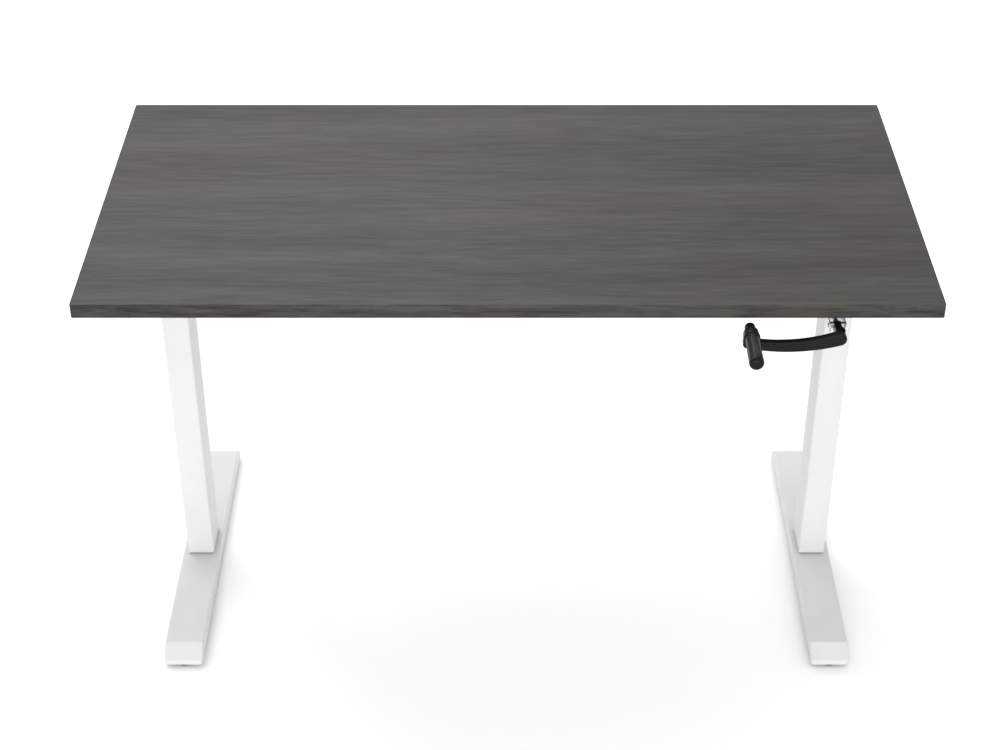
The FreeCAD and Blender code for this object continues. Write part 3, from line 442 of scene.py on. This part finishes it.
def head_welds():
    """Welds between each inner tube and its head plate."""
    corner_radius, stand_off, below_plate = 4.0, 0.4, 0.6
    for name, _ in SIDES:
        _, high, middle = reach(name + "_inner_tube")
        centres = Vector((high.x - middle.x - corner_radius, high.y - middle.y - corner_radius, 0))
        turns = []
        for corner, (sx, sy) in enumerate(((1, 1), (-1, 1), (-1, -1), (1, -1))):
            pivot = Vector((
                middle.x + sx * centres.x, middle.y + sy * centres.y, high.z - below_plate))
            for step in range(7):
                angle = math.radians(90 * corner + 15 * step)
                out = Vector((math.cos(angle), math.sin(angle), 0))
                turns.append(pivot + out * (corner_radius + stand_off))
        path = []
        for start, end in zip(turns, turns[1:] + turns[:1]):
            path += line_of(start, end)[:-1]
        welds = Solid()
        welds.bead(path, 1.2, closed=True)
        welds.finish(name + "_head_weld", "white_paint", "top")


def rail_hardware():
    """Chamfered hexagon heads and nuts of the rail bolts."""
    bolts, nuts = Solid(), Solid()
    spread = 25.0                    # from a rail's middle to a bolt
    stem, radius, point_radius = 12.5, 3.0, 2.5
    head_flats, head_height = 8.0, 4.0
    nut_flats, nut_height, nut_seat = 10.0, 5.0, 7.0    # the seat is from the bolt's end
    outermost = reach("rail_bolts")[1].x
    for rail in RAILS:
        middle = reach(rail)[2]
        for _, side in SIDES:
            away = Vector((-side, 0, 0))
            for y in (middle.y - spread, middle.y + spread):
                end = Vector((side * outermost, y, middle.z))
                seat = end + away * stem
                bolts.hexagon_head(seat, away, head_flats, head_height)
                bolts.shaft(seat, end, (
                    (0.0, radius), (0.60, radius), (0.94, radius), (1.0, point_radius)))
                nuts.hexagon_head(end + away * nut_seat, -away, nut_flats, nut_height)
    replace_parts(bolts.finish("rail_bolt_set", "zinc_steel", "top"), "rail_bolts")
    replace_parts(nuts.finish("rail_nut_set", "zinc_steel", "top"), "rail_nuts")


def lead_screws():
    """Lead screws with a two-start trapezoidal thread."""
    lead, root, crest, journal, flange, flange_height = 8.0, 5.7, 7.0, 4.0, 11.0, 6.0
    chamfer = 0.8
    section = ((root - 0.2, -1.5), (crest, -0.75), (crest, 0.75), (root - 0.2, 1.5))
    bearing = reach("thrust_bearings")[0].z
    shoulder = bearing - 0.3
    collar = bearing - flange_height
    for name, _ in SIDES:
        low, high, middle = reach(name + "_lead_screw")
        gear = reach(name + "_screw_gear")[0].z
        centre = Vector((middle.x, middle.y, 0))
        screw = Solid()
        screw.turned(centre, (
            (4.4, low.z), (root, low.z + 2.0), (root, collar - 8.0), (crest, collar - 7.0),
            (crest, collar), (flange - chamfer, collar), (flange, collar + chamfer),
            (flange, shoulder - chamfer), (flange - chamfer, shoulder), (6.0, shoulder),
            (6.0, gear), (journal, gear), (journal, high.z - 0.5), (journal - 0.5, high.z)))
        for start in (0.0, 0.5):
            screw.helix(centre, low.z + 3.6, collar - 8.5, lead, start, section)
        piece = screw.finish(name + "_threaded_screw", "drawn_steel", name + "_screw")
        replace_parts(piece, name + "_lead_screw")


def levellers():
    """Levelling pads with a ribbed rim and an M8 thread."""
    pitch, root, crest = 1.25, 3.4, 4.0
    section = ((root - 0.1, -0.55), (crest, -0.12), (crest, 0.12), (root - 0.1, 0.55))
    profile = (
        (14.9, 0.0), (15.5, 0.0), (16.8, 1.3), (16.8, 2.8), (15.0, 4.9), (7.0, 5.9),
        (crest, 5.9), (root, 6.3), (root, 20.6), (2.8, 21.3))
    ribs, rib_height, rim_levels = 36, 0.2, (2, 3)
    angles = [math.pi * i / (2 * ribs) for i in range(4 * ribs)]
    for name in sorted(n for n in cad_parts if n.endswith("_leveller")):
        middle = reach(name)[2]
        centre = Vector((middle.x, middle.y, 0))
        rings = []
        for level, (radius, z) in enumerate(profile):
            swell = rib_height if level in rim_levels else 0.0
            sizes = [radius + swell * math.cos(ribs * angle) for angle in angles]
            rings.append([
                centre + Vector((size * math.cos(angle), size * math.sin(angle), z))
                for size, angle in zip(sizes, angles)])
        pad = Solid()
        pad.rings(rings)
        pad.helix(centre, 7.0, 20.0, pitch, 0.0, section, 20)
        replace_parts(pad.finish(name + "_threaded", "pad_plastic", name), name)


rail_welds()
head_welds()
rail_hardware()
lead_screws()
levellers()


# ---- floor, light and camera --------------------------------------------------------------
def floor():
    shader = Shader("floor_paint")
    cloud = shader.even_noise(0.8)
    shader.set(Base_Color=shader.mix(cloud, grey(0.965), grey(0.98)), Roughness=0.9)
    mesh = bpy.data.meshes.new("floor")
    corners = [(x, y, 0.0) for x, y in ((-1, -1), (1, -1), (1, 1), (-1, 1))]
    mesh.from_pydata([Vector(c) * FLOOR_HALF for c in corners], [], [(0, 1, 2, 3)])
    mesh.materials.append(shader.material)
    plane = bpy.data.objects.new("floor", mesh)
    bpy.context.scene.collection.objects.link(plane)


def area_light(name, at, aim, size, power):
    light = bpy.data.lights.new(name, "AREA")
    light.shape = "RECTANGLE"
    light.size, light.size_y = size
    light.energy = power
    lamp = bpy.data.objects.new(name, light)
    lamp.location = at
    lamp.rotation_euler = (Vector(aim) - Vector(at)).to_track_quat("-Z", "Y").to_euler()
    bpy.context.scene.collection.objects.link(lamp)


def lights():
    world = bpy.data.worlds.new("studio")
    world.use_nodes = True
    background = world.node_tree.nodes["Background"]
    background.inputs["Color"].default_value = grey(1.0)
    background.inputs["Strength"].default_value = WORLD_LIGHT
    bpy.context.scene.world = world
    area_light(
        "softbox_front", at=(0.0, -5.0, 1.1), aim=(0, 0, 0.35), size=(3.2, 1.4), power=115.0)
    area_light(
        "softbox_top", at=(-0.9, 1.6, 3.2), aim=(0, 0, 0.8), size=(2.8, 2.0), power=60.0)


def camera():
    data = bpy.data.cameras.new("camera")
    data.lens = CAMERA_LENS
    view = bpy.data.objects.new("camera", data)
    view.location = CAMERA_AT
    view.rotation_euler = (math.radians(90.0 - CAMERA_PITCH), 0, 0)
    bpy.context.scene.collection.objects.link(view)
    bpy.context.scene.camera = view
    bpy.context.scene.view_settings.view_transform = "Standard"


floor()
lights()
camera()
